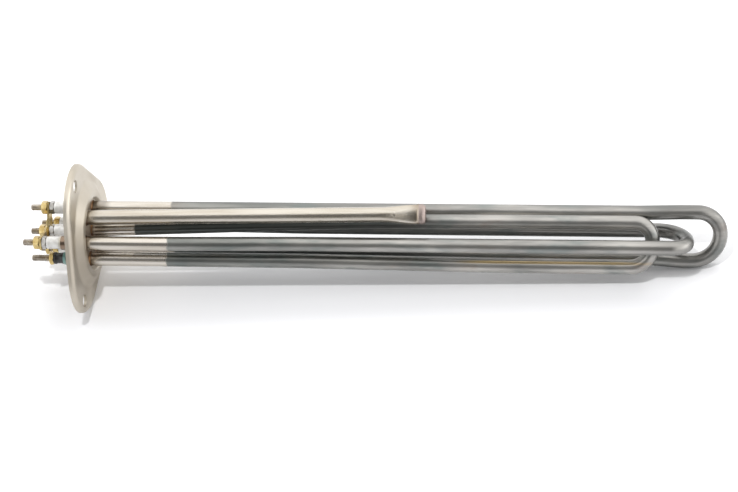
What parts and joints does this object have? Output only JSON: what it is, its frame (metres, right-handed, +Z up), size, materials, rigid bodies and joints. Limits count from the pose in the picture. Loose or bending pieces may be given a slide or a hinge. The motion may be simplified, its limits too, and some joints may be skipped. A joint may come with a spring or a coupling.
{
  "type": "heating element",
  "caption": "Flanged immersion heating element: hairpin tubes and a thermostat pocket in a pressed lobed flange, with insulated threaded terminals joined in a star.",
  "frame": {"origin": "centre of the bolt circle, in the plane of the flange's front sealing face", "axes": "+X along the heating tubes, away from the terminals; +Z up through one lobe of the flange"},
  "size_m": [0.4125, 0.0904, 0.0855],
  "materials": {
    "flange_steel": "satin pressed stainless steel",
    "pocket_steel": "satin stainless tube, welded end",
    "sheath_steel": "oxidised dark grey, bright at the cold ends",
    "magnesia": "compacted powder",
    "coil_alloy": "drawn resistance wire",
    "black_insulator": "moulded, matt",
    "sealant": "cured sealant",
    "seal_disc": "pale cured seal",
    "plated_steel": "zinc plated",
    "brass": "machined",
    "braze": "braze with heat tint",
    "stud_steel": "threaded steel stud",
    "white_ceramic": "glazed"
  },
  "bodies": {
    "root": {"flange": "flange_steel", "thermostat_pocket": "pocket_steel", "long_element_sheath": "sheath_steel", "middle_element_sheath": "sheath_steel", "short_element_sheath": "sheath_steel", "long_magnesia_filling": "magnesia", "middle_magnesia_filling": "magnesia", "short_magnesia_filling": "magnesia", "long_resistance_coil": "coil_alloy", "middle_resistance_coil": "coil_alloy", "short_resistance_coil": "coil_alloy", "short_lower_insulator": "black_insulator", "short_lower_sealant": "sealant", "end_seals": "seal_disc", "star_stop_nuts": "plated_steel", "star_link_straight": "brass", "star_link_cranked": "brass", "star_clamp_nuts": "brass", "phase_terminal_nuts": "brass", "braze_rings": "braze", "long_upper_terminal_pin": "stud_steel", "long_lower_terminal_pin": "stud_steel", "middle_near_terminal_pin": "stud_steel", "middle_far_terminal_pin": "stud_steel", "short_upper_terminal_pin": "stud_steel", "short_lower_terminal_pin": "stud_steel", "long_upper_bush": "white_ceramic", "long_lower_bush": "white_ceramic", "middle_near_bush": "white_ceramic", "middle_far_bush": "white_ceramic", "short_upper_bush": "white_ceramic"}
  },
  "joints": []
}
